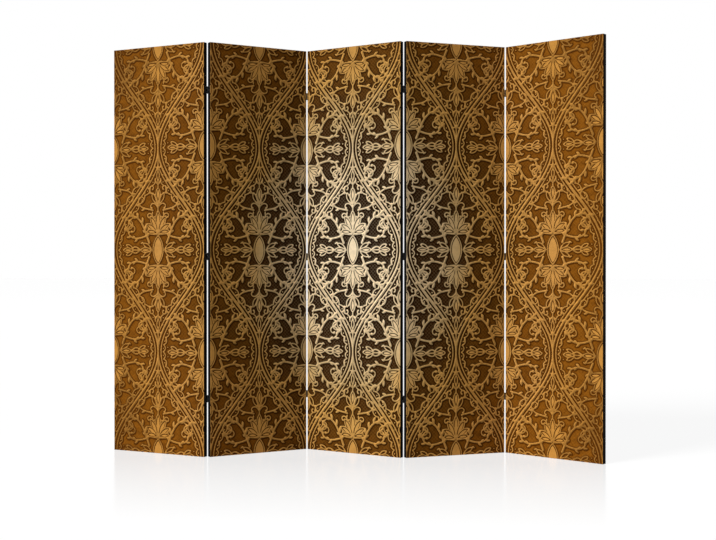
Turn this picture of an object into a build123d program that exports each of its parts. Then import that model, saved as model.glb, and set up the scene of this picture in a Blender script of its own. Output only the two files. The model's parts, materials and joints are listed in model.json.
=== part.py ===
from build123d import *
import os

# One panel, in millimetres
PANEL_COUNT = 5
PANEL_WIDTH = 450.0
PANEL_HEIGHT = 1720.0
PANEL_THICKNESS = 25.0

# The cloth: printed canvas pulled round the frame, and a thin cloth that closes the back
CANVAS = 0.6
CANVAS_RIM_RADIUS = 1.8
WOOD_RIM_CHAMFER = 1.2
HEM = 30.0
BACKCLOTH = 0.5
BACKCLOTH_INSET = 8.0

# The wooden stretcher frame inside each panel
MEMBER_WIDTH = 40.0
RIM_LIP = 8.0
BEVEL_DEPTH = 3.0
MID_RAIL_HEIGHT = 860.0
TENON_LENGTH = 15.0
TENON_SHOULDER = 6.0
MID_RAIL_CHAMFER = 2.0

# The staples that hold the hem and the backcloth
STAPLE_CROWN = 10.0
STAPLE_LEG = 8.0
STAPLE_WIRE = 0.6
STAPLE_WIDTH = 1.2
STAPLE_INSET = 16.0
STAPLES_PER_STILE = 6
STAPLES_PER_RAIL = 3
STAPLE_END_ROOM = 90.0

# The hinges between two panels: how high they stand, and the room that they keep
HINGE_HEIGHTS = (240.0, 832.0, 1524.0)
PANEL_GAP = 3.0
PIN_PROUD = 1.6

# One hinge, with its small round parts drawn as many-sided bars
ROUND_SIDES = 10
BARREL_HEIGHT = 30.0
BARREL_RADIUS = 2.0
BARREL_CLEARANCE = 0.25
BORE_RADIUS = 1.05
PIN_RADIUS = 1.0
PIN_HEAD_RADIUS = 1.7
PIN_HEAD_HEIGHT = 0.6
KNUCKLE_COUNT = 3
KNUCKLE_GAP = 0.2
LEAF_THICKNESS = 1.0
LEAF_REACH = 18.0
LEAF_CORNER = 3.0

# The countersunk wood screws, two to a leaf: depth from the panel's face and height in the leaf
SCREW_PLACES = ((5.5, 9.0), (12.5, -9.0))
SCREW_SIDES = 8
SCREW_HEAD_RADIUS = 2.5
SCREW_RADIUS = 1.5
SCREW_LENGTH = 16.0
SCREW_TIP = 3.0

# How the screen stands: the first panel's direction in plan, and the fold at each joint, in degrees
FIRST_HEADING = -21.4
REST_FOLDS = (54.0, 59.5, 49.5, 59.0)

# Sizes that follow
HALF_WIDTH = PANEL_WIDTH / 2
WOOD_FRONT = CANVAS
WOOD_BACK = PANEL_THICKNESS - BACKCLOTH - CANVAS
WOOD_SIDE = HALF_WIDTH - CANVAS
WOOD_TOP = PANEL_HEIGHT - CANVAS
OPENING_SIDE = WOOD_SIDE - MEMBER_WIDTH
TONGUE = (WOOD_BACK - WOOD_FRONT) / 3
TONGUE_FRONT = WOOD_FRONT + TONGUE
TONGUE_BACK = WOOD_FRONT + 2 * TONGUE
KNUCKLE_HEIGHT = (BARREL_HEIGHT - (KNUCKLE_COUNT - 1) * KNUCKLE_GAP) / KNUCKLE_COUNT
PIN_SIDE = HALF_WIDTH + PANEL_GAP / 2
LEFT, RIGHT = -1, 1


def block(x_range, y_range, z_range):
    """A square-edged block between two corners."""
    middle = [(low + high) / 2 for low, high in (x_range, y_range, z_range)]
    size = [high - low for low, high in (x_range, y_range, z_range)]
    return Pos(*middle) * Box(*size)


def mirrored_range(side, near, far):
    """The X range between two distances from the middle, on the left or the right."""
    return (near, far) if side == RIGHT else (-far, -near)


def panel_block(inset, front, back):
    """The panel's outline, drawn in by an inset, between two depths."""
    sides = (inset - HALF_WIDTH, HALF_WIDTH - inset)
    return block(sides, (front, back), (inset, PANEL_HEIGHT - inset))


def rims(body):
    """The edges round a panel block's front and back."""
    return body.edges().filter_by(Axis.Y, reverse=True)


def wooden_core():
    """The space inside the canvas, which the frame fills out to its eased rims."""
    core = panel_block(CANVAS, WOOD_FRONT, WOOD_BACK)
    return chamfer(rims(core), WOOD_RIM_CHAMFER)


def bevel_pocket():
    """The shallow pyramid cut from the frame's front, so that the canvas only meets the rims."""
    lip_side = WOOD_SIDE - RIM_LIP
    rim = Rectangle(2 * lip_side, WOOD_TOP - CANVAS - 2 * RIM_LIP)
    opening = Rectangle(2 * OPENING_SIDE, WOOD_TOP - CANVAS - 2 * MEMBER_WIDTH)
    front = Plane((0, WOOD_FRONT, PANEL_HEIGHT / 2), x_dir=(1, 0, 0), z_dir=(0, 1, 0))
    return loft([front * rim, front.offset(BEVEL_DEPTH) * opening])


def rail_range(top):
    """The heights between which the top or the bottom rail lies."""
    return (WOOD_TOP - MEMBER_WIDTH, WOOD_TOP) if top else (CANVAS, CANVAS + MEMBER_WIDTH)


def stile(side, core, pocket):
    """An upright: slotted at both ends for the rails' tongues, and mortised for the mid rail."""
    across = mirrored_range(side, OPENING_SIDE, WOOD_SIDE)
    wood = block(across, (WOOD_FRONT, WOOD_BACK), (CANVAS, WOOD_TOP)) & core
    for top in (False, True):
        wood -= block(across, (TONGUE_FRONT, TONGUE_BACK), rail_range(top))
    mortise = mirrored_range(side, OPENING_SIDE, OPENING_SIDE + TENON_LENGTH)
    return wood - block(mortise, (TONGUE_FRONT, TONGUE_BACK), tenon_range()) - pocket


def rail(top, core, pocket):
    """A cross member at an end, with a tongue through each stile's slot."""
    between = block((-OPENING_SIDE, OPENING_SIDE), (WOOD_FRONT, WOOD_BACK), rail_range(top))
    tongue = block((-WOOD_SIDE, WOOD_SIDE), (TONGUE_FRONT, TONGUE_BACK), rail_range(top))
    return (between & core) + (tongue & core) - pocket


def tenon_range():
    """The heights between which the mid rail's tenons lie, inside its shoulders."""
    reach = MEMBER_WIDTH / 2 - TENON_SHOULDER
    return (MID_RAIL_HEIGHT - reach, MID_RAIL_HEIGHT + reach)


def mid_rail():
    """The cross member at half height, set back from the canvas, with a stub tenon at each end."""
    reach = MEMBER_WIDTH / 2
    heights = (MID_RAIL_HEIGHT - reach, MID_RAIL_HEIGHT + reach)
    bar = block((-OPENING_SIDE, OPENING_SIDE), (WOOD_FRONT + BEVEL_DEPTH, WOOD_BACK), heights)
    front_arrises = bar.faces().sort_by(Axis.Y)[0].edges().filter_by(Axis.X)
    bar = chamfer(front_arrises, MID_RAIL_CHAMFER)
    tenon_end = OPENING_SIDE + TENON_LENGTH
    return bar + block((-tenon_end, tenon_end), (TONGUE_FRONT, TONGUE_BACK), tenon_range())


def canvas(core):
    """The printed canvas: one sheet over the front and sides, hemmed round onto the back."""
    outside = panel_block(0, 0, PANEL_THICKNESS - BACKCLOTH)
    outside = fillet(rims(outside), CANVAS_RIM_RADIUS)
    window = block(
        (HEM - HALF_WIDTH, HALF_WIDTH - HEM),
        (WOOD_BACK - CANVAS, PANEL_THICKNESS),
        (HEM, PANEL_HEIGHT - HEM),
    )
    return outside - core - window


def back_cover():
    """The thin cloth laid over the back, a little inside the panel's edge."""
    side = HALF_WIDTH - BACKCLOTH_INSET
    heights = (BACKCLOTH_INSET, PANEL_HEIGHT - BACKCLOTH_INSET)
    return block((-side, side), (PANEL_THICKNESS - BACKCLOTH, PANEL_THICKNESS), heights)


def staple():
    """One staple with its crown along X and its legs driven towards -Y."""
    outer, inner = STAPLE_CROWN / 2, STAPLE_CROWN / 2 - STAPLE_WIRE
    outline = Polyline(
        (-outer, STAPLE_WIRE),
        (outer, STAPLE_WIRE),
        (outer, -STAPLE_LEG),
        (inner, -STAPLE_LEG),
        (inner, 0),
        (-inner, 0),
        (-inner, -STAPLE_LEG),
        (-outer, -STAPLE_LEG),
        close=True,
    )
    return extrude(make_face(outline), STAPLE_WIDTH / 2, both=True)


def spaced(low, high, count):
    """Evenly spaced places from one end to the other, both included."""
    return [low + (high - low) * step / (count - 1) for step in range(count)]


def staples():
    """The ring of staples round the back: along both stiles, and along the top and bottom rails."""
    wire = staple()
    side = HALF_WIDTH - STAPLE_INSET
    ring = []
    for height in spaced(STAPLE_END_ROOM, PANEL_HEIGHT - STAPLE_END_ROOM, STAPLES_PER_STILE):
        ring += [Pos(x, PANEL_THICKNESS, height) * Rot(0, 90, 0) * wire for x in (-side, side)]
    for x in spaced(STAPLE_END_ROOM - HALF_WIDTH, HALF_WIDTH - STAPLE_END_ROOM, STAPLES_PER_RAIL):
        for height in (STAPLE_INSET, PANEL_HEIGHT - STAPLE_INSET):
            ring.append(Pos(x, PANEL_THICKNESS, height) * wire)
    return ring


def round_bar(radius, height, hole=False):
    """An upright bar on the Z axis, inside its circle, or outside it where it cuts a hole."""
    outline = RegularPolygon(radius, ROUND_SIDES, major_radius=not hole)
    return extrude(outline, height / 2, both=True)


def knuckle_middles(first):
    """The heights of every second knuckle in the barrel, from the first one given."""
    pitch = KNUCKLE_HEIGHT + KNUCKLE_GAP
    lowest = (KNUCKLE_HEIGHT - BARREL_HEIGHT) / 2
    return [lowest + pitch * number for number in range(first, KNUCKLE_COUNT, 2)]


def leaf(first_knuckle, screws):
    """A hinge leaf on the pin's +X side, with its plate towards +Y and the pin's axis on Z.

    It carries every second knuckle, and is notched round the other leaf's.
    """
    across = (PANEL_GAP / 2 - LEAF_THICKNESS, PANEL_GAP / 2)
    half = BARREL_HEIGHT / 2
    plate = block(across, (0, PIN_PROUD + LEAF_REACH), (-half, half))
    outer_corners = plate.edges().filter_by(Axis.X).group_by(Axis.Y)[-1]
    plate = chamfer(outer_corners, LEAF_CORNER)
    notch = round_bar(BARREL_RADIUS + BARREL_CLEARANCE, KNUCKLE_HEIGHT + 2 * KNUCKLE_GAP, True)
    for height in knuckle_middles(1 - first_knuckle):
        plate -= Pos(0, 0, height) * notch
    for height in knuckle_middles(first_knuckle):
        plate += Pos(0, 0, height) * round_bar(BARREL_RADIUS, KNUCKLE_HEIGHT)
    plate -= round_bar(BORE_RADIUS, BARREL_HEIGHT, True)
    for screw_body in screws:
        plate -= screw_body
    return plate


def hinge_pin():
    """The pin through the barrel, with a head riveted over at each end."""
    pin = round_bar(PIN_RADIUS, BARREL_HEIGHT)
    for end in (-1, 1):
        height = end * (BARREL_HEIGHT + PIN_HEAD_HEIGHT) / 2
        pin += Pos(0, 0, height) * round_bar(PIN_HEAD_RADIUS, PIN_HEAD_HEIGHT)
    return pin


def screw():
    """A countersunk screw along +X, with its head flush in the leaf's outer face."""
    face = Plane((PANEL_GAP / 2 - LEAF_THICKNESS, 0, 0), x_dir=(0, 1, 0), z_dir=(1, 0, 0))
    head = RegularPolygon(SCREW_HEAD_RADIUS, SCREW_SIDES)
    shank = RegularPolygon(SCREW_RADIUS, SCREW_SIDES)
    under_head = face.offset(LEAF_THICKNESS)
    tip = face.offset(SCREW_LENGTH - SCREW_TIP)
    body = loft([face * head, under_head * shank]) + loft([under_head * shank, tip * shank])
    return body + loft([tip * shank, Vertex(face.offset(SCREW_LENGTH).origin)])


def leaf_screws():
    """The screws of one leaf, in the leaf's own place."""
    body = screw()
    return [Pos(0, PIN_PROUD + depth, height) * body for depth, height in SCREW_PLACES]


def is_mountain(joint):
    """Whether the screen comes forward at this joint, with the pins behind the panels."""
    return joint % 2 == 0


def pin_depth(joint):
    """The pin's depth from the front face, in either panel's own frame."""
    return PANEL_THICKNESS + PIN_PROUD if is_mountain(joint) else -PIN_PROUD


def hinge_place(joint, side, height):
    """Where the hinge at a panel's left or right edge sits in that panel's own frame."""
    if is_mountain(joint):
        turn = Rot(180, 0, 0) if side == LEFT else Rot(0, 0, 180)
    else:
        turn = Rot(0, 0, 0) if side == LEFT else Rot(0, 180, 0)
    return Pos(side * PIN_SIDE, pin_depth(joint), height) * turn


def edge_hardware(joint, side, kit):
    """The leaves and screws on one edge of a panel, in that panel's own frame.

    The pins' own leaf, with the end knuckles, is on the panel to the joint's left.
    """
    places = [hinge_place(joint, side, height) for height in HINGE_HEIGHTS]
    which = "pin_leaf" if side == RIGHT else "free_leaf"
    leaves = [place * kit[which] for place in places]
    screws = [place * body for place in places for body in kit["screws"]]
    return leaves, screws


def hinge_kit():
    """One of each hinge piece, on the pin's axis."""
    screws = leaf_screws()
    return {
        "pin_leaf": leaf(0, screws),
        "free_leaf": leaf(1, screws),
        "pin": hinge_pin(),
        "screws": screws,
    }


def panel_headings():
    """Each panel's direction in plan: the screen turns back at a mountain and forward at a valley."""
    headings = [FIRST_HEADING]
    for joint, fold in enumerate(REST_FOLDS):
        headings.append(headings[-1] + (fold if is_mountain(joint) else -fold))
    return headings


def turned(x, y, heading):
    """A point of a panel's own frame, turned to its heading."""
    return Vector(x, y, 0).rotate(Axis.Z, heading)


def standing_plan():
    """The panels' middles and the pins' points in plan, from pin to pin along the screen."""
    headings = panel_headings()
    middles, pins = [], []
    for number, heading in enumerate(headings):
        if number == 0:
            middle = Vector(0, 0, 0)
        else:
            middle = pins[-1] - turned(-PIN_SIDE, pin_depth(number - 1), heading)
        middles.append(middle)
        if number < len(REST_FOLDS):
            pins.append(middle + turned(PIN_SIDE, pin_depth(number), heading))
    centre = footprint_centre(middles, headings)
    return [m - centre for m in middles], [p - centre for p in pins], headings


def footprint_centre(middles, headings):
    """The middle of the rectangle on the floor that the panels' corners just fill."""
    corners = [
        middle + turned(x, y, heading)
        for middle, heading in zip(middles, headings)
        for x in (-HALF_WIDTH, HALF_WIDTH)
        for y in (0, PANEL_THICKNESS)
    ]
    xs, ys = [c.X for c in corners], [c.Y for c in corners]
    return Vector((min(xs) + max(xs)) / 2, (min(ys) + max(ys)) / 2, 0)


def panel_pieces(number, kit):
    """Every piece that moves with one panel, by name, in that panel's own frame."""
    core, pocket = wooden_core(), bevel_pocket()
    stiles = {side: stile(side, core, pocket) for side in (LEFT, RIGHT)}
    pieces = {}
    for side, joint in ((LEFT, number - 1), (RIGHT, number)):
        if not 0 <= joint < len(REST_FOLDS):
            continue
        leaves, screws = edge_hardware(joint, side, kit)
        which = "right" if side == LEFT else "left"
        pieces[f"hinges_{joint + 1}_{which}_leaves"] = leaves
        pieces[f"hinges_{joint + 1}_{which}_screws"] = screws
        if side == RIGHT:
            places = [hinge_place(joint, side, height) for height in HINGE_HEIGHTS]
            pieces[f"hinges_{joint + 1}_pins"] = [place * kit["pin"] for place in places]
    prefix = f"panel_{number + 1}"
    pieces[f"{prefix}_left_stile"] = [stiles[LEFT]]
    pieces[f"{prefix}_right_stile"] = [stiles[RIGHT]]
    pieces[f"{prefix}_top_rail"] = [rail(True, core, pocket)]
    pieces[f"{prefix}_bottom_rail"] = [rail(False, core, pocket)]
    pieces[f"{prefix}_mid_rail"] = [mid_rail()]
    pieces[f"{prefix}_canvas"] = [canvas(core)]
    pieces[f"{prefix}_back_cover"] = [back_cover()]
    pieces[f"{prefix}_staples"] = staples()
    return pieces


def main():
    os.makedirs("parts", exist_ok=True)
    kit = hinge_kit()
    middles, pins, headings = standing_plan()
    for number in range(PANEL_COUNT):
        place = Pos(middles[number]) * Rot(0, 0, headings[number])
        for name, solids in panel_pieces(number, kit).items():
            placed = [place * solid for solid in solids]
            shape = placed[0] if len(placed) == 1 else Compound(children=placed)
            export_step(shape, f"parts/{name}.step")
    for joint, pin in enumerate(pins):
        print(f"pin line {joint + 1}: x {pin.X:.3f}, y {pin.Y:.3f}, fold {REST_FOLDS[joint]} degrees")


main()
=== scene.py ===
import json
import logging
import math
from dataclasses import dataclass, field
from enum import Enum
from typing import Any, Iterable, Sequence

import bpy
import numpy as np
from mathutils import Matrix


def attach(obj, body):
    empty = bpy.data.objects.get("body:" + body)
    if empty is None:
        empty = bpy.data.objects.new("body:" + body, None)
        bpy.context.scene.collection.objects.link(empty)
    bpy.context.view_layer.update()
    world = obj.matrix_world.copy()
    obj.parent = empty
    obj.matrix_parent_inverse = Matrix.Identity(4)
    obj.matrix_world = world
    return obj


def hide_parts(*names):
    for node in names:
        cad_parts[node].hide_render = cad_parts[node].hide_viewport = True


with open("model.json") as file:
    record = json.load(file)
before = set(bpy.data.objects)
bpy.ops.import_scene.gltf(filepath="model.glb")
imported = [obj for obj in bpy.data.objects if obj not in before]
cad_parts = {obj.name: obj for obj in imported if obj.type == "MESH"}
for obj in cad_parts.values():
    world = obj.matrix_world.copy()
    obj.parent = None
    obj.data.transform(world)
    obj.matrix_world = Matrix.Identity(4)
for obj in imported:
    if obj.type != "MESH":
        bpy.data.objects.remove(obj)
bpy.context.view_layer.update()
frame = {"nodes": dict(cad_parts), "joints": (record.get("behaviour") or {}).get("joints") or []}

MM = 0.001
PANEL_COUNT = 5
RIM_MEMBERS = ("left_stile", "right_stile", "top_rail", "bottom_rail")
LOG = logging.getLogger("folding_screen")

# A stroke is its points and half its thickness at each. A shape is its points and its faces.
Stroke = tuple[np.ndarray, np.ndarray]
Shape = tuple[np.ndarray, list[list[int]]]


class Fold(Enum):
    """How the screen turns at a joint, with the pin's depth from the front face in millimetres."""

    MOUNTAIN = 26.6
    VALLEY = -1.6


class Grain(Enum):
    """Which way the wood's fibres run in a member of the stretcher."""

    UPRIGHT = "upright"
    ACROSS = "across"


# Small helpers for meshes


def grid_faces(rows: int, columns: int, round_columns: bool = False) -> np.ndarray:
    """Numbers the four corners of every cell of a grid of points.

    A cell's corners are its own point, the next one along the row, the one above that, and the one
    above its own.

    Args:
        rows: How many rows of points there are.
        columns: How many points a row has.
        round_columns: Whether the last column joins the first.

    Returns:
        An array with four point numbers to a cell.
    """
    number = np.arange(rows * columns).reshape(rows, columns)
    if round_columns:
        number = np.concatenate([number, number[:, :1]], axis=1)
    cells = [number[:-1, :-1], number[:-1, 1:], number[1:, 1:], number[1:, :-1]]
    return np.stack([c.ravel() for c in cells], axis=1)


def make_piece(
    name: str,
    points: np.ndarray,
    faces: np.ndarray | list[list[int]],
    material: bpy.types.Material,
    maps: dict[str, np.ndarray] | None = None,
    measures: dict[str, np.ndarray] | None = None,
    sharp_degrees: float = 40.0,
) -> bpy.types.Object:
    """Puts arrays of points and faces into a mesh object at the origin.

    Args:
        name: The piece's name.
        points: Points in the row frame, in metres.
        faces: The point numbers of each face.
        material: The finish.
        maps: UV maps by name, each with two numbers to a point.
        measures: Point attributes by name, each with one number to a point.
        sharp_degrees: Edges that turn by more than this are shaded sharp.

    Returns:
        The new object.
    """
    mesh = bpy.data.meshes.new(name)
    mesh.from_pydata(points, [], faces if isinstance(faces, list) else faces.tolist())
    corner = np.empty(len(mesh.loops), np.int32)
    mesh.loops.foreach_get("vertex_index", corner)
    for map_name, places in (maps or {}).items():
        layer = mesh.uv_layers.new(name=map_name)
        layer.uv.foreach_set("vector", places[corner].astype(np.float32).ravel())
    for measure_name, values in (measures or {}).items():
        attribute = mesh.attributes.new(measure_name, "FLOAT", "POINT")
        attribute.data.foreach_set("value", values.astype(np.float32))
    mesh.polygons.foreach_set("use_smooth", np.ones(len(mesh.polygons), bool))
    mesh.set_sharp_from_angle(angle=math.radians(sharp_degrees))
    mesh.materials.append(material)
    mesh.update()
    piece = bpy.data.objects.new(name, mesh)
    bpy.context.scene.collection.objects.link(piece)
    return piece


def outward(shape: Shape) -> Shape:
    """Turns a closed shape's faces outwards, by the sign of the volume that they enclose.

    Args:
        shape: A closed shape.

    Returns:
        The shape, with its faces turned round where they pointed inwards.
    """
    points, faces = shape
    volume = 0.0
    for size in {len(face) for face in faces}:
        corners = points[np.array([face for face in faces if len(face) == size])]
        for second in range(1, size - 1):
            a, b, c = corners[:, 0], corners[:, second], corners[:, second + 1]
            volume += (a * np.cross(b, c)).sum()
    return shape if volume > 0 else (points, [face[::-1] for face in faces])


def joined(shapes: Sequence[Shape]) -> Shape:
    """Puts several shapes into one, with their points numbered on.

    Args:
        shapes: The shapes to put together.

    Returns:
        One shape with all their points and faces.
    """
    starts = np.cumsum([0] + [len(points) for points, _ in shapes])
    faces = [[int(start) + n for n in face] for start, (_, part) in zip(starts, shapes) for face in part]
    return np.concatenate([points for points, _ in shapes]), faces


def revolved(profile: Sequence[tuple[float, float]], sides: int, ring: bool = False) -> Shape:
    """Turns a profile of radius and height about the Z axis.

    Args:
        profile: Radius and height pairs.
        sides: How many steps there are to a turn.
        ring: Whether the profile closes on itself, as a tube's does, or else its ends get a cap.

    Returns:
        The closed shape.
    """
    radius, height = np.array(profile, float).T
    turn = np.arange(sides) * 2 * np.pi / sides
    points = np.empty((len(radius), sides, 3))
    points[..., 0] = radius[:, None] * np.cos(turn)
    points[..., 1] = radius[:, None] * np.sin(turn)
    points[..., 2] = height[:, None]
    rows = len(radius)
    faces = grid_faces(rows, sides, round_columns=True).tolist()
    number = np.arange(rows * sides).reshape(rows, sides)
    if ring:
        seam = np.concatenate([number[-1:], number[:1]])
        seam = np.concatenate([seam, seam[:, :1]], axis=1)
        faces += np.stack([seam[0, :-1], seam[0, 1:], seam[1, 1:], seam[1, :-1]], axis=1).tolist()
    else:
        faces += [number[0, ::-1].tolist(), number[-1].tolist()]
    return outward((points.reshape(-1, 3), faces))


# The finishes


class NodeBench:
    """Adds and joins the nodes of one material."""

    def __init__(self, name: str) -> None:
        """Starts a material with only its output node.

        Args:
            name: The material's name.
        """
        self.material = bpy.data.materials.new(name)
        self.material.use_nodes = True
        self.tree = self.material.node_tree
        self.tree.nodes.clear()
        self.output = self.tree.nodes.new("ShaderNodeOutputMaterial")

    def add(self, kind: str, inputs: dict[Any, Any] | None = None, **settings: Any) -> bpy.types.Node:
        """Adds a node, sets its options, and joins or sets its inputs.

        Args:
            kind: The node's type, without the leading ShaderNode.
            inputs: Values or sockets by input name or number.
            settings: The node's own options.

        Returns:
            The new node.
        """
        node = self.tree.nodes.new("ShaderNode" + kind)
        for option, value in settings.items():
            setattr(node, option, value)
        for key, value in (inputs or {}).items():
            if isinstance(value, bpy.types.NodeSocket):
                self.tree.links.new(value, node.inputs[key])
            else:
                node.inputs[key].default_value = value
        return node

    def maths(self, operation: str, *values: Any) -> bpy.types.NodeSocket:
        """One sum on numbers or sockets."""
        return self.add("Math", dict(enumerate(values)), operation=operation).outputs[0]

    def fade(self, value: Any, start: float, end: float, low: float = 0.0, high: float = 1.0) -> Any:
        """Turns a value from start to end into a smooth step from low to high."""
        inputs = {"Value": value, "From Min": start, "From Max": end, "To Min": low, "To Max": high}
        return self.add("MapRange", inputs, interpolation_type="SMOOTHSTEP").outputs[0]

    def blend(self, share: Any, first: Any, second: Any, how: str = "MIX") -> bpy.types.NodeSocket:
        """Mixes two colours by a share."""
        node = self.add("Mix", {0: share, 6: first, 7: second}, data_type="RGBA", blend_type=how)
        return node.outputs[2]

    def ramp(self, value: Any, stops: Iterable[tuple[float, tuple[float, float, float]]]) -> Any:
        """A colour ramp through the given places and colours.

        Args:
            value: The socket that picks the place, from 0 to 1.
            stops: Places and colours, in rising order.

        Returns:
            The colour's socket.
        """
        node = self.add("ValToRGB", {0: value})
        elements = node.color_ramp.elements
        for number, (place, colour) in enumerate(stops):
            element = elements[number] if number < 2 else elements.new(place)
            element.position = place
            element.color = (*colour, 1.0)
        return node.outputs[0]

    def noise(self, place: Any, scale: float, detail: float = 3.0, rough: float = 0.5) -> Any:
        """Soft noise from 0 to 1 at a scale."""
        inputs = {"Vector": place, "Scale": scale, "Detail": detail, "Roughness": rough}
        return self.add("TexNoise", inputs).outputs[0]

    def placed(self, place: Any, **inputs: Any) -> bpy.types.NodeSocket:
        """A place that is moved, turned or scaled by a Mapping node."""
        return self.add("Mapping", {"Vector": place, **inputs}).outputs[0]

    def uv(self, name: str) -> bpy.types.NodeSocket:
        """The piece's own UV map of that name."""
        return self.add("UVMap", uv_map=name).outputs[0]

    def measure(self, name: str) -> bpy.types.NodeSocket:
        """The piece's own point attribute of that name."""
        return self.add("Attribute", attribute_name=name).outputs["Fac"]

    def object_place(self) -> bpy.types.NodeSocket:
        """Object coordinates."""
        return self.add("TexCoord").outputs["Object"]

    def bump(self, height: Any, strength: float, distance: float, normal: Any = None) -> Any:
        """A bumped normal, over another one where given.

        Args:
            height: The socket with the height.
            strength: How much of the bump counts.
            distance: How high a full step is, in metres.
            normal: The normal that the bump is added to.

        Returns:
            The normal's socket.
        """
        inputs = {"Strength": strength, "Distance": distance, "Height": height}
        if normal is not None:
            inputs["Normal"] = normal
        return self.add("Bump", inputs).outputs[0]

    def dressed(self, inputs: dict[str, Any]) -> bpy.types.Material:
        """Ends the material with a principled surface that has the given inputs."""
        return self.finish(self.add("BsdfPrincipled", inputs).outputs[0])

    def finish(self, surface: bpy.types.NodeSocket) -> bpy.types.Material:
        """Joins the surface to the output and hands over the material."""
        self.tree.links.new(surface, self.output.inputs["Surface"])
        return self.material


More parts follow.
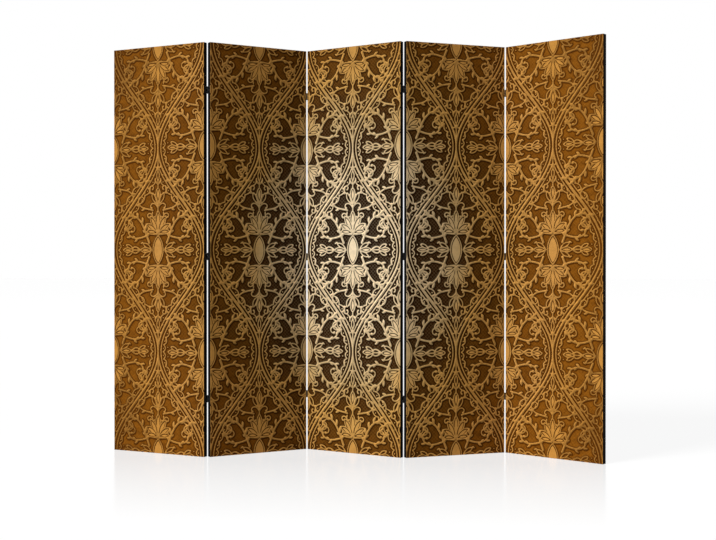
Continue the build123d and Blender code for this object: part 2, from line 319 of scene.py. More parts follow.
@dataclass(frozen=True)
class PrintedCanvas:
    """Woven canvas with a gold ornament printed on a ground that goes from near black to amber.

    The colours follow an ellipse round the middle of the whole screen, so each stop is how far out
    it is and its colour. A name that ends in fade holds the start and end of a smooth step, and
    where it has four numbers, also its first and last level. Steps beside the print's lines and past
    the panel's edge are in millimetres, and the trellis and the threads are in metres.
    """

    reach_across: float = 1.05
    reach_up: float = 1.30
    grounds: tuple = (
        (0.00, (0.018, 0.008, 0.003)),
        (0.25, (0.026, 0.010, 0.002)),
        (0.45, (0.052, 0.018, 0.002)),
        (0.60, (0.112, 0.040, 0.003)),
        (0.80, (0.180, 0.058, 0.003)),
        (1.00, (0.250, 0.084, 0.005)),
    )
    shades: tuple = (
        (0.00, (0.008, 0.003, 0.001)),
        (0.45, (0.017, 0.005, 0.000)),
        (0.70, (0.030, 0.008, 0.000)),
        (1.00, (0.060, 0.014, 0.000)),
    )
    lines: tuple = (
        (0.00, (1.000, 0.810, 0.530)),
        (0.20, (0.960, 0.740, 0.450)),
        (0.43, (0.640, 0.425, 0.180)),
        (0.54, (0.690, 0.375, 0.098)),
        (0.66, (0.600, 0.300, 0.068)),
        (0.86, (0.630, 0.305, 0.072)),
        (1.00, (0.620, 0.290, 0.056)),
    )
    cloud_scale: float = 5.0
    cloud_share: float = 0.22
    patina_scale: float = 38.0
    patina_fade: tuple = (0.38, 0.72, 0.0, 0.5)
    petal_patina_fade: tuple = (0.3, 0.8, 0.0, 0.25)
    wear_scale: float = 90.0
    wear_fade: tuple = (0.3, 0.75, 1.06, 0.72)
    crest_fade: tuple = (0.6, -0.6, 0.42, 1.26)
    shadow_side_fade: tuple = (0.08, 0.7, 0.0, 0.8)
    lit_side_fade: tuple = (-0.15, -0.75, 0.0, 0.12)
    beside_line_fade: tuple = (0.0, 9.0, 0.95, 0.0)
    line_fade: tuple = (-0.1, 0.75, 1.0, 0.0)
    petal_fade: tuple = (-0.1, 0.7, 1.0, 0.0)
    far_fade: tuple = (0.92, 1.22, 1.0, 0.5)
    edge_fade: tuple = (1.2, 1.9)
    edge_colour: tuple = (0.004, 0.004, 0.004, 1.0)
    trellis_pitch: float = 0.015
    trellis_bar_fade: tuple = (0.0007, 0.0017, 1.0, 0.0)
    trellis_clear_fade: tuple = (3.0, 9.0)
    trellis_share: float = 0.10
    threads_per_metre: float = 1150.0
    # Painted shade in the weave: how far the low places between the threads lean towards the shade colour
    thread_gap_shade_fade: tuple = (0.0, 1.0, 0.10, 0.0)
    thread_height: float = 0.00012
    roughness: float = 0.66
    mirror_level: float = 0.02

    def material(self) -> bpy.types.Material:
        """Makes the material. Lines, petals and print relief come from the piece's attributes.

        Returns:
            The material.
        """
        bench = NodeBench("printed_canvas")
        cloth = bench.uv("cloth")
        out = self.distance(bench, cloth)
        shade = bench.ramp(out, self.shades)
        patina = bench.noise(cloth, self.patina_scale, 6.0, 0.68)
        line = bench.fade(bench.measure("line"), *self.line_fade)
        line = bench.maths("MULTIPLY", line, bench.fade(out, *self.far_fade))
        colour = bench.blend(line, self.ground(bench, out, shade, patina), self.gold(bench, out))
        filling = bench.ramp(out, self.lines)
        filling = bench.blend(bench.fade(patina, *self.petal_patina_fade), filling, shade)
        colour = bench.blend(bench.fade(bench.measure("petal"), *self.petal_fade), colour, filling)
        colour = bench.blend(bench.fade(bench.measure("wrap"), *self.edge_fade), colour, self.edge_colour)
        weave = self.weave(bench, cloth)
        # Painted shade: the low places between the threads are darkened a little towards the shade colour
        colour = bench.blend(bench.fade(weave, *self.thread_gap_shade_fade), colour, shade)
        normal = bench.bump(weave, 0.22, self.thread_height)
        inputs = {"Base Color": colour, "Roughness": self.roughness, "Normal": normal}
        inputs |= {"Specular IOR Level": self.mirror_level}
        return bench.dressed(inputs)

    def distance(self, bench: NodeBench, cloth: bpy.types.NodeSocket) -> bpy.types.NodeSocket:
        """How far out a place is, as a share of the ellipse's reach, with soft clouds added.

        Args:
            bench: The material's bench.
            cloth: The socket with the place on the cloth, in metres.

        Returns:
            The distance's socket.
        """
        scale = (1 / self.reach_across, 1 / self.reach_up, 1.0)
        out = bench.add("VectorMath", {0: bench.placed(cloth, Scale=scale)}, operation="LENGTH").outputs[1]
        cloud = bench.noise(cloth, self.cloud_scale, 5.0, 0.6)
        return bench.maths("MULTIPLY_ADD", bench.maths("SUBTRACT", cloud, 0.5), self.cloud_share, out)

    def ground(self, bench: NodeBench, out: Any, shade: Any, patina: Any) -> bpy.types.NodeSocket:
        """The ground: its colour by distance, patina, a faint trellis, and shade beside the lines.

        Args:
            bench: The material's bench.
            out: The socket with the distance from the middle.
            shade: The colour beside a line.
            patina: The patina's noise.

        Returns:
            The ground's colour.
        """
        gap, relief = bench.measure("line"), bench.measure("relief")
        line = bench.ramp(out, self.lines)
        colour = bench.blend(bench.fade(patina, *self.patina_fade), bench.ramp(out, self.grounds), shade)
        trellis = self.trellis(bench, bench.uv("cloth"))
        trellis = bench.maths("MULTIPLY", trellis, bench.fade(gap, *self.trellis_clear_fade))
        colour = bench.blend(bench.maths("MULTIPLY", trellis, self.trellis_share), colour, line)
        colour = bench.blend(bench.fade(gap, *self.beside_line_fade), colour, shade)
        colour = bench.blend(bench.fade(relief, *self.shadow_side_fade), colour, shade)
        return bench.blend(bench.fade(relief, *self.lit_side_fade), colour, line)

    def gold(self, bench: NodeBench, out: Any) -> bpy.types.NodeSocket:
        """The lines' colour by distance, lighter on the side to the light and worn in spots.

        Args:
            bench: The material's bench.
            out: The socket with the distance from the middle.

        Returns:
            The lines' colour.
        """
        crest = bench.fade(bench.measure("relief"), *self.crest_fade)
        worn = bench.fade(bench.noise(bench.uv("cloth"), self.wear_scale, 4.0, 0.6), *self.wear_fade)
        tone = bench.maths("MULTIPLY", crest, worn)
        grey = bench.add("CombineColor", {0: tone, 1: tone, 2: tone}).outputs[0]
        return bench.blend(1.0, bench.ramp(out, self.lines), grey, "MULTIPLY")

    def trellis(self, bench: NodeBench, cloth: bpy.types.NodeSocket) -> bpy.types.NodeSocket:
        """A fine diagonal trellis: how far each slanting coordinate is from a multiple of the pitch.

        Args:
            bench: The material's bench.
            cloth: The socket with the place on the cloth, in metres.

        Returns:
            A socket that is one on a bar and nought between bars.
        """
        across, up, _ = bench.add("SeparateXYZ", {0: cloth}).outputs
        slants = (bench.maths("ADD", across, up), bench.maths("SUBTRACT", across, up))
        ways = [bench.maths("PINGPONG", slant, self.trellis_pitch / 2) for slant in slants]
        return bench.maths("MAXIMUM", *[bench.fade(way, *self.trellis_bar_fade) for way in ways])

    def weave(self, bench: NodeBench, cloth: bpy.types.NodeSocket) -> bpy.types.NodeSocket:
        """A plain weave: threads across and threads up, each a run of rounded ridges.

        Args:
            bench: The material's bench.
            cloth: The socket with the place on the cloth, in metres.

        Returns:
            The threads' height, from nought to one.
        """
        inputs = {"Vector": cloth, "Scale": self.threads_per_metre / 10, "Distortion": 1.2}
        inputs |= {"Detail": 1.0, "Detail Scale": 0.6}
        ridges = [bench.add("TexWave", inputs, bands_direction=way).outputs[1] for way in ("X", "Y")]
        return bench.maths("MAXIMUM", *ridges)


@dataclass(frozen=True)
class NonWovenCloth:
    """Thin black non-woven cloth: pressed fibres, held together by a grid of small bonded dots."""

    colour: tuple = (0.012, 0.012, 0.013, 1.0)
    fibre: tuple = (0.035, 0.035, 0.038, 1.0)
    fibre_scale: float = 900.0
    clump_scale: float = 60.0
    bonds_per_metre: float = 480.0
    height: float = 0.0002
    roughness: float = 0.88

    def material(self) -> bpy.types.Material:
        """Makes the material on the piece's own map, in metres.

        Returns:
            The material.
        """
        bench = NodeBench("black_backcloth")
        cloth = bench.uv("cloth")
        fibres = bench.noise(bench.placed(cloth, Scale=(1.0, 0.35, 1.0)), self.fibre_scale, 4.0, 0.7)
        clumps = bench.noise(cloth, self.clump_scale, 5.0, 0.65)
        dots = bench.add("TexVoronoi", {"Vector": cloth, "Scale": self.bonds_per_metre, "Randomness": 0.15})
        bonds = bench.fade(dots.outputs["Distance"], 0.22, 0.42)
        colour = bench.blend(bench.fade(fibres, 0.45, 0.8), self.colour, self.fibre)
        colour = bench.blend(bench.fade(clumps, 0.5, 0.8, 0.0, 0.5), colour, self.fibre)
        normal = bench.bump(bench.maths("ADD", fibres, clumps), 0.35, self.height)
        normal = bench.bump(bonds, 0.4, self.height, normal)
        inputs = {"Base Color": colour, "Roughness": self.roughness, "Normal": normal}
        inputs |= {"Specular IOR Level": 0.2, "Sheen Weight": 0.25}
        return bench.dressed(inputs)


@dataclass(frozen=True)
class Pine:
    """Planed bare pine, with growth lines along the member and a few darker streaks."""

    grain: Grain
    turn: float = 0.0
    pale: tuple = (0.66, 0.44, 0.22)
    late: tuple = (0.45, 0.24, 0.09)
    squeeze: float = 0.06
    ring_scale: float = 34.0
    band_scale: float = 42.0
    band_height: float = 0.0002
    roughness: float = 0.6

    def material(self) -> bpy.types.Material:
        """Makes the material: noise drawn out along the fibres, then bands across them.

        Returns:
            The material.
        """
        bench = NodeBench(f"pine_{self.grain.value}_{round(math.degrees(self.turn))}")
        stretch = (1.0, 1.0, self.squeeze) if self.grain is Grain.UPRIGHT else (self.squeeze, 1.0, 1.0)
        level = bench.placed(bench.object_place(), Rotation=(0.0, 0.0, -self.turn))
        along = bench.placed(level, Scale=stretch)
        ring = bench.noise(along, self.ring_scale, 4.0, 0.55)
        inputs = {"Vector": along, "Scale": self.band_scale, "Distortion": 5.0, "Detail": 3.0}
        band = bench.add("TexWave", inputs)
        colour = bench.ramp(ring, ((0.3, self.pale), (0.7, self.late)))
        colour = bench.blend(bench.fade(band.outputs[1], 0.55, 0.95, 0.0, 0.45), colour, (*self.late, 1.0))
        normal = bench.bump(band.outputs[1], 0.2, self.band_height)
        inputs = {"Base Color": colour, "Roughness": self.roughness, "Normal": normal}
        return bench.dressed(inputs)


@dataclass(frozen=True)
class BlackEnamel:
    """Black stoved enamel on steel, with orange peel and rubbed spots."""

    name: str
    gloss: float = 0.34
    rub_scale: float = 260.0
    peel_scale: float = 1400.0
    peel_height: float = 0.0001
    black: tuple = (0.008, 0.008, 0.009)
    rubbed: tuple = (0.05, 0.05, 0.052)

    def material(self) -> bpy.types.Material:
        """Makes the material on Object coordinates.

        Returns:
            The material.
        """
        bench = NodeBench(self.name)
        place = bench.object_place()
        rub = bench.noise(place, self.rub_scale, 5.0, 0.7)
        colour = bench.ramp(rub, ((0.62, self.black), (0.82, self.rubbed)))
        rough = bench.fade(rub, 0.3, 0.8, self.gloss, self.gloss + 0.18)
        normal = bench.bump(bench.noise(place, self.peel_scale, 2.0), 0.12, self.peel_height)
        inputs = {"Base Color": colour, "Roughness": rough, "Normal": normal}
        return bench.dressed(inputs)


@dataclass(frozen=True)
class BrightSteel:
    """Zinc-plated wire and pins: grey metal with fine drawn lines."""

    name: str
    colour: tuple = (0.52, 0.53, 0.55)
    dark_share: float = 0.55
    line_scale: float = 1800.0
    roughness: tuple = (0.28, 0.45)

    def material(self) -> bpy.types.Material:
        """Makes the material on Object coordinates.

        Returns:
            The material.
        """
        bench = NodeBench(self.name)
        place = bench.object_place()
        drawn = bench.noise(bench.placed(place, Scale=(1.0, 1.0, 0.15)), self.line_scale, 3.0, 0.6)
        dark = tuple(self.dark_share * part for part in self.colour)
        colour = bench.ramp(drawn, ((0.3, dark), (0.7, self.colour)))
        rough = bench.fade(drawn, 0.2, 0.8, *self.roughness)
        inputs = {"Base Color": colour, "Roughness": rough, "Metallic": 1.0}
        return bench.dressed(inputs)


@dataclass(frozen=True)
class StudioFloor:
    """A white floor that keeps a faint shadow, with a soft reflection that dies out in front."""

    near: float = -0.15
    far: float = -1.30
    mirror: float = 0.21
    lift: float = 0.895
    paint: float = 0.20
    matt: float = 0.88
    mirror_roughness: float = 0.14

    def material(self) -> bpy.types.Material:
        """Makes the material: a little lit paint under a white seen only by camera and mirror rays.

        Returns:
            The material.
        """
        bench = NodeBench("studio_floor")
        path = bench.add("LightPath").outputs
        seen = bench.maths("MAXIMUM", path["Is Camera Ray"], path["Is Glossy Ray"])
        seen = bench.maths("MAXIMUM", seen, path["Is Transmission Ray"])
        matt = bench.add("BsdfDiffuse", {"Color": (self.matt, self.matt, self.matt, 1.0)}).outputs[0]
        thin = bench.add("BsdfDiffuse", {"Color": (self.paint, self.paint, self.paint, 1.0)}).outputs[0]
        white = bench.add("Emission", {"Color": (1.0, 1.0, 1.0, 1.0), "Strength": self.lift}).outputs[0]
        shown = bench.add("AddShader", {0: thin, 1: white}).outputs[0]
        depth = bench.add("SeparateXYZ", {0: bench.object_place()}).outputs[1]
        inputs = {"Value": depth, "From Min": self.far, "From Max": self.near, "To Max": self.mirror}
        share = bench.add("MapRange", inputs).outputs[0]
        inputs = {"Color": (1.0, 1.0, 1.0, 1.0), "Roughness": self.mirror_roughness}
        mirror = bench.add("BsdfGlossy", inputs).outputs[0]
        glazed = bench.add("MixShader", {0: share, 1: shown, 2: mirror}).outputs[0]
        return bench.finish(bench.add("MixShader", {0: seen, 1: matt, 2: glazed}).outputs[0])


# The printed ornament


@dataclass
class Ornament:
    """A lattice of ogee medallions, half a step apart, in millimetres.

    One quarter of a medallion is drawn from its middle, as strokes of changing thickness and as
    petals. The rest follows by mirroring, and the neighbours by half a turn. No line is thinner than
    the front's grid can carry.
    """

    half_width: float = 225.0
    half_height: float = 430.0
    clear: float = 16.0
    least: float = 2.2
    outline: float = 2.1
    petal_inset: float = 5.8
    least_filled: float = 9.0
    rib_half: float = 3.0
    rib_swell: float = 2.2
    inner_line_inset: float = 14.6
    lobe_count: int = 9
    lobes_end: float = 318.0
    lobe_inset: float = 24.5
    lobe_depth: float = 11.0
    pearl_inset: float = 25.6
    pearl_radius: float = 2.6
    seed_radius: float = 2.5
    fan_steps: tuple = (0.13, 0.07, -10.0)
    sprig: tuple = (42.0, 0.36, -34.0)
    leaf_least: float = 0.9
    edge_steps: int = 220
    relief_light: tuple = (0.6, -0.8)
    relief_range: tuple = (-4.0, 5.0)
    strokes: list[Stroke] = field(default_factory=list)
    petals: list[Stroke] = field(default_factory=list)

    def edge(self, height: np.ndarray) -> np.ndarray:
        """How far out the medallion's edge is at a height: half a cosine wave."""
        return self.half_width / 2 * (1 + np.cos(np.pi * height / self.half_height))

    def line(self, points: Any, radii: Any) -> None:
        """Adds a stroke through the points, with half its thickness at each.

        Args:
            points: The stroke's points.
            radii: Half its thickness, as one number or one to a point.
        """
        points = np.asarray(points, float)
        radii = np.broadcast_to(np.asarray(radii, float), len(points))
        self.strokes.append((points, np.maximum(radii, self.least)))

    def trail(self, start: Any, angles: np.ndarray, length: float) -> np.ndarray:
        """Walks from a start in equal steps that each head along the next angle.

        Args:
            start: Where it starts.
            angles: The headings, in radians.
            length: Its whole length.

        Returns:
            Its points.
        """
        step = length / (len(angles) - 1)
        heads = np.stack([np.cos(angles), np.sin(angles)], 1)
        moves = np.cumsum((heads[1:] + heads[:-1]) / 2 * step, 0)
        return np.asarray(start, float) + np.concatenate([np.zeros((1, 2)), moves])

    def curl(
        self,
        start: Any,
        heading: float,
        length: float,
        bends: tuple[float, float],
        radii: tuple[float, float],
        bulb: float = 0.0,
        steps: int = 26,
    ) -> tuple[np.ndarray, np.ndarray]:
        """A scroll whose line bends faster and faster, thinning out to a bulb.

        The bend at a share t of the length is the first bend plus t to the power 1.6 of the
        difference, in degrees to a millimetre, and the heading is its running sum.

        Args:
            start: Where the stroke starts.
            heading: The direction that it starts in, in degrees.
            length: Its length.
            bends: The bend at its start and at its end.
            radii: Half its thickness at its start and at its end.
            bulb: The radius of the drop at its end.
            steps: How many points it has.

        Returns:
            Its points and their headings in degrees.
        """
        along = np.linspace(0, 1, steps)
        bend = np.radians(bends[0] + (bends[1] - bends[0]) * along**1.6)
        turned = np.cumsum((bend[1:] + bend[:-1]) / 2 * length / (steps - 1))
        angles = math.radians(heading) + np.concatenate([[0], turned])
        points = self.trail(start, angles, length)
        self.line(points, radii[0] + (radii[1] - radii[0]) * along)
        if bulb:
            self.line(points[-2:], bulb)
        return points, np.degrees(angles)

    def leaf(
        self, root: Any, heading: float, length: float, width: float, bend: float = 0.0, solid: bool = False
    ) -> None:
        """A spindle along a bent line, outlined as a petal or filled as a leaf.

        Half its width at a share t is half the width times the sine of pi t to the power 1.25, to
        the power 0.85, so it is fullest past its middle.

        Args:
            root: Where it springs from.
            heading: The direction that it starts in, in degrees.
            length: Its length.
            width: Its greatest width.
            bend: How far it turns on its way, in degrees.
            solid: Whether it is filled as a leaf.
        """
        along = np.linspace(0, 1, 12)
        angles = np.radians(heading + bend * (along - 0.2))
        points = self.trail(root, angles, length)
        radii = width / 2 * np.sin(np.pi * along**1.25) ** 0.85
        if solid:
            self.strokes.append((points, np.maximum(radii, self.leaf_least)))
        else:
            self.petals.append((points, radii))

    def fan(self, root: Any, heading: float, reach: float, width: float, count: int, spread: float) -> None:
        """Petals that spread from one root, each shorter than the last and bent outwards.

        Args:
            root: Where the petals spring from.
            heading: The first petal's direction, in degrees.
            reach: The first petal's length.
            width: The first petal's width.
            count: How many petals there are.
            spread: The turn from one petal to the next, in degrees.
        """
        shorter, narrower, bend = self.fan_steps
        for number in range(count):
            length, size = reach * (1 - shorter * number), width * (1 - narrower * number)
            self.leaf(root, heading - spread * number, length, size, bend * number)

    def sprigs(self, stem: tuple, places: Iterable[float], side: int, size: float) -> None:
        """Leaves that spring from a stem on one side, at shares of its length.

        Args:
            stem: The stem's points, and their headings in degrees.
            places: Shares of the stem's length.
            side: 1 for the left side or -1 for the right.
            size: A leaf's length.
        """
        points, headings = stem
        turn, share, bend = self.sprig
        for place in places:
            at = int(place * (len(points) - 1))
            self.leaf(points[at], headings[at] + side * turn, size, size * share, side * bend, solid=True)

    def border(self) -> None:
        """The rib along the edge, a line inside it, and a row of lobes with a pearl in each."""
        height = np.linspace(0, self.half_height, self.edge_steps)
        rib = np.stack([self.edge(height), height], 1)
        slope = np.gradient(rib[:, 0], height)
        inward = np.stack([-np.ones_like(height), slope], 1) / np.hypot(1, slope)[:, None]
        self.line(rib, self.rib_half + self.rib_swell * np.sin(np.pi * height / self.half_height) ** 2)
        inner = rib + self.inner_line_inset * inward
        self.line(inner[inner[:, 0] > 0], self.least)
        low = height < self.lobes_end
        phase = height[low] / self.lobes_end * self.lobe_count
        inset = self.lobe_inset + self.lobe_depth * np.abs(np.sin(np.pi * phase)) ** 0.8
        lobes = rib[low] + inset[:, None] * inward[low]
        self.line(lobes[lobes[:, 0] > 1], self.least)
        for number in range(self.lobe_count):
            at = int((number + 0.5) / self.lobe_count * low.sum())
            pearl = rib[at] + self.pearl_inset * inward[at]
            if pearl[0] > 4:
                self.line([pearl, pearl + 0.1], self.pearl_radius)

    def upright_motifs(self) -> None:
        """On the upright axis: an almond, a palmette between volutes, a tulip and a bud."""
        share = np.linspace(0, 1, 16)
        almond = np.stack([np.zeros(16), 60 * share], 1)
        self.petals.append((almond, 25 * np.cos(share * np.pi / 2) ** 0.9))
        self.fan((0, 70), 90, 96, 25, 4, 25)
        self.curl((5, 66), 0, 84, (0.2, 7.5), (3.4, 2.0), 4.2)
        self.line([(0, 160), (0, 196)], [2.4, 3.0])
        self.curl((0, 178), 62, 62, (-1.0, -8.0), (3.0, 1.8), 3.6)
        self.leaf((0, 200), 90, 62, 22)
        self.leaf((4, 196), 52, 52, 15, 38)
        self.line([(0, 262), (0, 292)], 2.2)
        self.leaf((0, 290), 90, 42, 13)
        self.leaf((2, 276), 50, 26, 8, 20, solid=True)
        self.curl((0, 336), 80, 26, (-2.0, -9.0), (2.2, 1.8), 2.6)
        self.line([(0, 330), (0, 392)], [2.2, 1.8])

    def side_motifs(self) -> None:
        """On the level axis: two small palmettes joined by a stem with volutes."""
        self.leaf((32, 0), 0, 56, 20)
        self.leaf((34, 4), 34, 48, 15, -16)
        self.line([(88, 0), (120, 0)], 2.4)
        self.curl((92, 2), 40, 60, (-0.6, -9.0), (3.0, 1.9), 3.8)
        self.leaf((122, 0), 0, 54, 19)
        self.leaf((126, 3), 34, 40, 13, -20)

    def scrolls(self) -> None:
        """Between the axes: long scrolls that roll up against the border, with leaves along them."""
        stem = self.curl((44, 30), 66, 300, (0.12, -4.0), (4.6, 2.1), 5.4, 60)
        self.sprigs(stem, (0.10, 0.20, 0.30, 0.40, 0.50, 0.60), 1, 31)
        self.sprigs(stem, (0.16, 0.44, 0.58), -1, 20)
        stem = self.curl((56, 60), -18, 196, (0.10, 5.3), (3.8, 2.0), 4.6, 44)
        self.sprigs(stem, (0.24, 0.42, 0.56), -1, 24)
        self.sprigs(stem, (0.32, 0.5), 1, 18)
        stem = self.curl((26, 168), 14, 150, (-0.3, 6.4), (3.4, 1.9), 4.0, 36)
        self.sprigs(stem, (0.28, 0.46), -1, 22)
        stem = self.curl((6, 232), 4, 92, (0.6, 8.6), (2.8, 1.8), 3.2, 30)
        self.sprigs(stem, (0.34, 0.52), -1, 15)
        stem = self.curl((34, 108), 118, 84, (-0.5, -8.2), (2.8, 1.8), 3.4, 28)
        self.sprigs(stem, (0.3, 0.5), 1, 16)

    def seeds(self) -> None:
        """Small drops and pearls in the ground that is left between the scrolls."""
        drops = ((88, 26, 150, 15), (150, 118, 215, 20), (186, 44, 100, 16), (72, 236, 130, 14))
        for x, z, turn, size in drops:
            self.leaf((x, z), turn, size, size * 0.42, solid=True)
        for x, z in ((20, 20), (176, 20), (134, 74), (98, 196), (30, 148), (46, 262), (24, 316)):
            self.line([(x, z), (x + 0.1, z)], self.seed_radius)

    def gap_to(self, points: np.ndarray, shapes: Sequence[Stroke]) -> np.ndarray:
        """How far each point is outside the nearest stroke, or inside it where below nought.

        For each run of a stroke the point is dropped onto the run, and the stroke's half thickness
        there is taken off the distance. The least of these counts.

        Args:
            points: Points of the quarter, two numbers each.
            shapes: Strokes, each as its points and half thicknesses.

        Returns:
            One distance to a point, no more than the clear distance.
        """
        best = np.full(len(points), self.clear)
        for line, radii in shapes:
            reach = self.clear + radii.max()
            near = np.all((points > line.min(0) - reach) & (points < line.max(0) + reach), 1)
            start, run = line[None, :-1], (line[1:] - line[:-1])[None]
            away = points[near][:, None] - start
            share = np.clip((away * run).sum(2) / np.maximum((run * run).sum(2), 1e-9), 0, 1)
            gap = np.linalg.norm(away - share[..., None] * run, axis=2)
            gap -= radii[:-1] + share * (radii[1:] - radii[:-1])
            best[near] = np.minimum(best[near], gap.min(1))
        return best

    def quarter(self, points: np.ndarray) -> tuple[np.ndarray, np.ndarray]:
        """Lines and petals of one medallion at points of its quarter.

        Args:
            points: Points of the quarter, two numbers each.

        Returns:
            Distances to the lines and to the petals' fillings, with one of each to a point.
        """
        lines = self.gap_to(points, self.strokes)
        petals = np.full(len(points), self.clear)
        for shape in self.petals:
            gap = self.gap_to(points, [shape])
            lines = np.where(gap < 0, np.maximum(lines, -gap), lines)
            lines = np.where(gap < self.clear, np.minimum(lines, np.abs(gap) - self.outline), lines)
            if shape[1].max() > self.least_filled:
                petals = np.minimum(petals, gap + self.petal_inset)
        return lines, petals

    def at(self, across: np.ndarray, up: np.ndarray) -> tuple[np.ndarray, np.ndarray, np.ndarray]:
        """The ornament over a grid that is even about a panel's middle.

        Args:
            across: The columns' distances from the panel's middle line, from left to right.
            up: The rows' heights above the panel's middle, from bottom to top.

        Returns:
            Distances to the lines and to the petals, and how far the print's relief leans to the
            light, each with one row to a height.
        """
        self.border()
        self.upright_motifs()
        self.side_motifs()
        self.scrolls()
        self.seeds()
        side = np.abs(across[len(across) // 2 :])
        rise = np.abs(up[len(up) // 2 :])
        rise = np.where(rise > self.half_height, 2 * self.half_height - rise, rise)
        tall, wide = np.meshgrid(rise, side, indexing="ij")
        own = np.stack([wide.ravel(), tall.ravel()], 1)
        other = np.array([self.half_width, self.half_height]) - own
        pairs = zip(self.quarter(own), self.quarter(other))
        lines, petals = (self.unfolded(np.minimum(*pair).reshape(wide.shape)) for pair in pairs)
        steep_up, steep_across = np.gradient(np.clip(lines, *self.relief_range), up, across)
        light_across, light_up = self.relief_light
        return lines, petals, self.softened(light_across * steep_across + light_up * steep_up)

    def softened(self, values: np.ndarray) -> np.ndarray:
        """Averages each value with its two neighbours along both axes, at weights one, two and one.

        Args:
            values: A grid of values.

        Returns:
            The softened grid.
        """
        for _ in range(2):
            wide = np.pad(values, ((0, 0), (1, 1)), mode="edge")
            values = ((wide[:, :-2] + wide[:, 2:]) / 2 + values).T / 2
        return values

    def unfolded(self, part: np.ndarray) -> np.ndarray:
        """Mirrors a quarter's grid to the left and downwards."""
        upper = np.concatenate([part[:, :0:-1], part], axis=1)
        return np.concatenate([upper[:0:-1], upper], axis=0)


# The screen


@dataclass(frozen=True)
class PanelPlace:
    """Where one panel stands: the foot of its front face's middle line, and its heading in plan."""

    number: int
    x: float
    y: float
    heading: float

    @property
    def body(self) -> str:
        """The CAD body that the panel's pieces move with."""
        return f"panel_{self.number}"

    def to_row(self, points: np.ndarray) -> np.ndarray:
        """Turns points of the panel's own frame, in millimetres, to the row frame, in metres.

        The panel's frame has X across, Y from the front face to the back, and Z up. The points are
        turned about Z by the heading and moved to the panel's foot.

        Args:
            points: Points in the panel's own frame.

        Returns:
            The same points in the row frame.
        """
        cos, sin = math.cos(self.heading), math.sin(self.heading)
        turn = np.array([[cos, sin, 0.0], [-sin, cos, 0.0], [0.0, 0.0, 1.0]])
        return points * MM @ turn + np.array([self.x, self.y, 0.0])


@dataclass
class StandingPlan:
    """Where the five panels stand, worked out from the joints' places and ranges."""

    pin_side: float = 226.5
    folds: tuple[Fold, ...] = (Fold.MOUNTAIN, Fold.VALLEY, Fold.MOUNTAIN, Fold.VALLEY)

    def places(self) -> list[PanelPlace]:
        """The panels' places, from left to right.

        A middle panel's heading is the turn between the line through its two pins in plan and the
        same line in the panel's own frame. An end panel's heading is its neighbour's less the fold
        that is left before their joint opens flat.

        Returns:
            One place to a panel.
        """
        joints = {joint["name"]: joint for joint in frame["joints"]}
        ordered = [joints[f"fold_{number}"] for number in range(1, PANEL_COUNT)]
        pins = [np.array(joint["pos_m"][:2]) for joint in ordered]
        rest = [math.radians(-joint["range_deg"][0]) for joint in ordered]
        headings = []
        for left, right in zip(range(3), range(1, 4)):
            seen = pins[right] - pins[left]
            own = (2 * self.pin_side, self.folds[right].value - self.folds[left].value)
            headings.append(math.atan2(seen[1], seen[0]) - math.atan2(own[1], own[0]))
        headings = [headings[0] - rest[0], *headings, headings[-1] - rest[3]]
        places = []
        for number, heading in enumerate(headings):
            joint = max(number - 1, 0)
            side = self.pin_side if number == 0 else -self.pin_side
            local = np.array([side, self.folds[joint].value, 0.0])
            foot = PanelPlace(number + 1, 0.0, 0.0, heading).to_row(local)
            places.append(PanelPlace(number + 1, *(pins[joint] - foot[:2]), heading))
        return places


